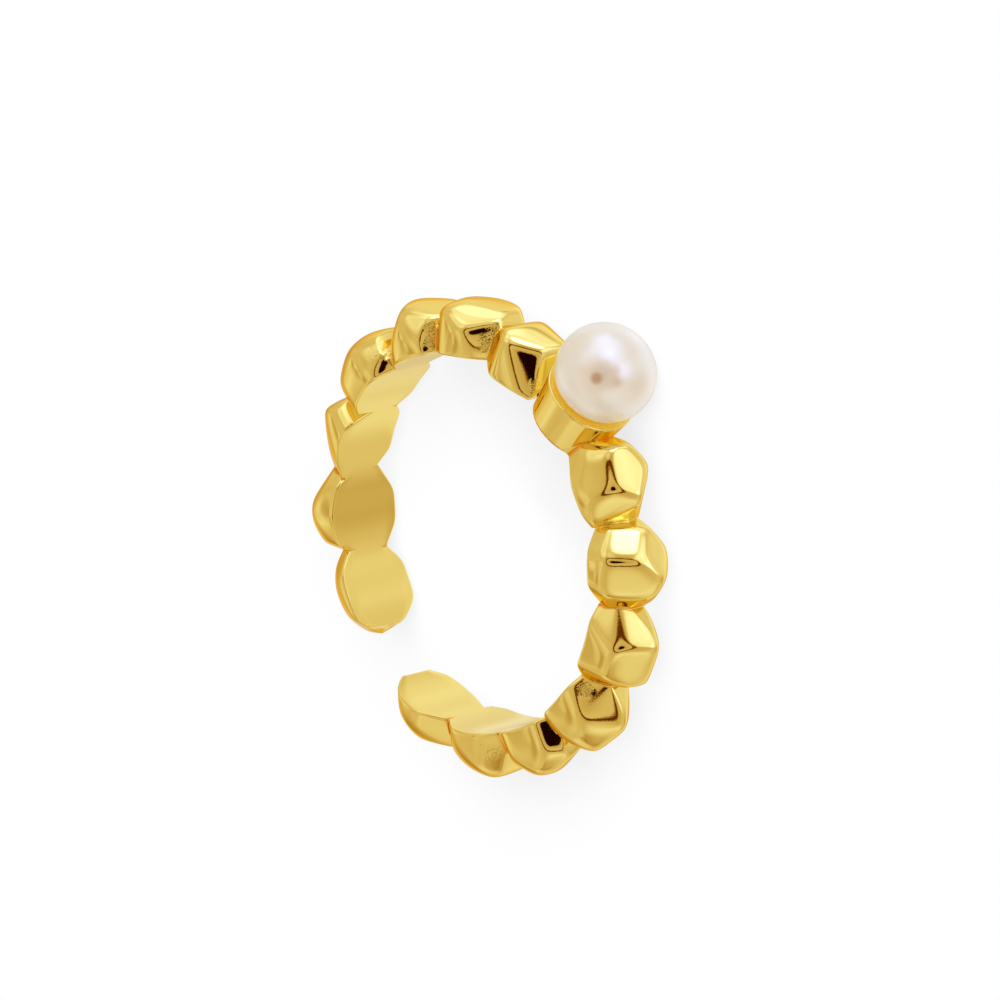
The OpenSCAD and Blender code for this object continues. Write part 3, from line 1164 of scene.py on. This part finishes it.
@dataclass
class Studio:
    """A white tent over a pale floor, with the hole that the camera looks through.

    The photograph's own studio is only known from what the gold shows of it. The levels and patches
    were set until the facets had about the photograph's colours at some fifty places. They aren't
    measures of real lamps. Seen from another side, the facets mirror parts of the tent that were
    matched to nothing.
    """

    # The photograph's camera, fitted to the ring: its place in mm, and its image's right and up.
    camera_at: tuple[float, float, float] = (272.09, -146.32, 250.62)
    camera_right: tuple[float, float, float] = (0.4265, -0.5008, -0.7532)
    camera_up: tuple[float, float, float] = (0.5954, 0.7824, -0.183)
    lens_mm: float = 324.0
    sensor_mm: float = 36.0
    clip_m: tuple[float, float] = (0.01, 10.0)
    floor_m: float = 2.0
    even_light: float = 0.92
    # Green and blue of the mirrored light are the red to these powers, so dimmer light is warmer.
    warmth: tuple[float, float] = (1.6, 2.9)
    least_level: float = 0.005
    # Brightness of the tent by the angle from the camera's hole in degrees.
    tent_levels: tuple[tuple[float, float], ...] = (
        (0, 0.01),
        (6.5, 0.01),
        (8, 0.6),
        (18.5, 0.7),
        (20.5, 0.1),
        (22.5, 0.1),
        (24.5, 0.6),
        (34, 0.66),
        (45, 0.7),
        (90, 0.72),
        (180, 0.7),
    )
    # Lamps and dim places, each set for the facets that mirror it in the photograph's view: azimuth,
    # angle, radius and soft rim in degrees, and the change in brightness.
    patches: tuple[tuple[float, float, float, float, float], ...] = (
        (60, 100, 35, 50, 0.08),
        (84, 68, 24, 10, 0.26),
        (78, 47, 9, 4, 0.5),
        (30, 40, 17, 5, 0.34),
        (5, 46, 6, 6, 0.34),
        (88, 80, 12, 3, 0.16),
        (74, 99, 4, 6, -0.19),
        (84, 135, 22, 14, 0.14),
        (220, 160, 10, 10, 0.16),
        (130, 52, 14, 9, 0.26),
        (100, 30, 5, 4, 0.2),
        (15, 130, 15, 30, 0.2),
        (285, 58, 16, 14, 0.12),
        (305, 130, 20, 20, 0.14),
        (189, 118, 9, 10, 0.16),
        (183, 104, 3, 6, -0.16),
        (202, 84, 4, 6, -0.16),
        (186, 92, 3, 3, 0.14),
        (194, 58, 9, 8, 0.1),
        (196, 89, 3, 2, 0.12),
        (195, 96, 4, 3, -0.08),
        (275, 38, 10, 8, 0.05),
        (14, 74, 16, 10, 0.06),
        (228, 131, 8, 12, -0.2),
        (248, 103, 10, 8, 0.12),
        (266, 75, 12, 8, -0.2),
        (249, 84, 5, 5, -0.16),
        (348, 83, 12, 10, -0.12),
    )
    folds_per_turn: float = 3.0
    fold_depth: float = 0.3
    fold_detail: float = 1.0
    fold_share: float = 0.4

    def back(self) -> Vector:
        """Direction from the ring to the camera."""
        return Vector(self.camera_right).cross(Vector(self.camera_up)).normalized()

    def add_camera(self) -> None:
        """Place the camera at the photograph's angle to the ring."""
        back = self.back()
        up = (Vector(self.camera_up) - back * back.dot(Vector(self.camera_up))).normalized()
        right = up.cross(back)
        data = bpy.data.cameras.new("camera")
        data.lens = self.lens_mm
        data.sensor_width = self.sensor_mm
        data.clip_start, data.clip_end = self.clip_m
        camera = bpy.data.objects.new("camera", data)
        turn = Matrix((right, up, back)).transposed().to_4x4()
        camera.matrix_world = Matrix.Translation(Vector(self.camera_at) * MM) @ turn
        bpy.context.scene.collection.objects.link(camera)
        bpy.context.scene.camera = camera

    def add_floor(self, level: float, finish: FloorCard) -> bpy.types.Object:
        """Lay the floor, and leave it out of the gold's reflections.

        Args:
            level: the floor's height in metres.
            finish: the floor's finish.

        Returns:
            The floor's object.
        """
        half = self.floor_m / 2
        mesh = bpy.data.meshes.new("floor")
        corners = [(-half, -half, level), (half, -half, level), (half, half, level), (-half, half, level)]
        mesh.from_pydata(corners, [], [(0, 1, 2, 3)])
        floor = bpy.data.objects.new("floor", mesh)
        bpy.context.scene.collection.objects.link(floor)
        floor.data.materials.append(finish.material())
        floor.visible_glossy = False
        return floor

    def direction(self, azimuth: float, angle: float) -> Vector:
        """Find the direction of a place in the tent.

        Args:
            azimuth: degrees round the camera's direction, 0 to the image's right and 90 up.
            angle: degrees from the camera's direction.

        Returns:
            The direction from the ring.
        """
        away, spin = math.radians(angle), math.radians(azimuth)
        across = Vector(self.camera_right) * math.cos(spin) + Vector(self.camera_up) * math.sin(spin)
        return (across * math.sin(away) + self.back() * math.cos(away)).normalized()

    def add_tent(self) -> None:
        """Light the ring from all round, as a white tent does.

        What the metal mirrors follows the angle from the camera's hole: black at the lens, a pale
        disc round it, a thin dark ring, then the tent, with lamps that glow through its top. The
        darker a part of the tent, the warmer it is. Matt surfaces get the same even white light
        from everywhere.
        """
        world = bpy.data.worlds.new("tent")
        bpy.context.scene.world = world
        world.use_nodes = True
        tree = world.node_tree
        tree.nodes.clear()
        way = add_node(tree, "ShaderNodeTexCoord").outputs["Generated"]

        def math_node(operation: str, first: Any, second: Any = 0.0) -> bpy.types.NodeSocket:
            """One step of arithmetic on sockets or numbers."""
            values = {0: first, 1: second}
            return add_node(tree, "ShaderNodeMath", {"operation": operation}, values).outputs[0]

        def profile(direction: Vector, stops: Sequence[tuple[float, float]]) -> bpy.types.NodeSocket:
            """Add a value that follows the angle from a direction.

            Args:
                direction: the direction that the angle is measured from.
                stops: (angle in degrees, value) pairs, with straight lines between them.

            Returns:
                The value's socket.
            """
            vectors = {0: way, 1: tuple(direction)}
            dot = add_node(tree, "ShaderNodeVectorMath", {"operation": "DOT_PRODUCT"}, vectors)
            share = math_node("DIVIDE", math_node("ARCCOSINE", dot.outputs["Value"]), math.pi)
            greys = [(angle / 180, (value, value, value, 1.0)) for angle, value in stops]
            return ramp(tree, share, greys).outputs["Color"]

        level = profile(self.direction(0, 0), self.tent_levels)
        for azimuth, angle, radius, soft, change in self.patches:
            stops = ((radius, abs(change)), (radius + soft, 0.0))
            patch = profile(self.direction(azimuth, angle), stops)
            level = math_node("ADD" if change > 0 else "SUBTRACT", level, patch)
        folds = add_node(
            tree,
            "ShaderNodeTexNoise",
            inputs={
                "Vector": way,
                "Scale": self.folds_per_turn,
                "Detail": self.fold_detail,
                "Roughness": self.fold_share,
            },
        )
        fold = math_node("MULTIPLY_ADD", folds.outputs["Fac"], self.fold_depth)
        fold.node.inputs[2].default_value = 1 - self.fold_depth / 2
        level = math_node("MAXIMUM", math_node("MULTIPLY", level, fold), self.least_level)
        green, blue = (math_node("POWER", level, power) for power in self.warmth)
        parts = {"Red": level, "Green": green, "Blue": blue}
        mirrored = add_node(tree, "ShaderNodeCombineColor", inputs=parts)
        matt = add_node(tree, "ShaderNodeLightPath").outputs["Is Diffuse Ray"]
        even = (self.even_light,) * 3 + (1.0,)
        total = add_node(
            tree,
            "ShaderNodeMix",
            {"data_type": "RGBA"},
            {0: matt, 6: mirrored.outputs["Color"], 7: even},
        )
        light = add_node(tree, "ShaderNodeBackground", inputs={"Color": total.outputs[2], "Strength": 1.0})
        add_node(tree, "ShaderNodeOutputWorld", inputs={"Surface": light.outputs["Background"]})


def main() -> None:
    """Build the ring and its studio in order."""
    logging.basicConfig(level=logging.INFO, format="%(message)s")
    pearl = Pearl()
    band = NuggetBand()
    band_piece = band.build(Cup(), pearl)
    band.dress(band_piece, GoldPlate())
    log.info("%s: %d points", band_piece.name, len(band_piece.data.vertices))
    pearl_piece = pearl.build()
    pearl.dress(pearl_piece, Nacre())
    log.info("%s: %d points", pearl_piece.name, len(pearl_piece.data.vertices))
    studio = Studio()
    studio.add_camera()
    studio.add_floor(CAD_BOX[0].z, FloorCard())
    studio.add_tent()
    bpy.context.scene.view_settings.view_transform = "Standard"


if __name__ == "__main__":
    main()
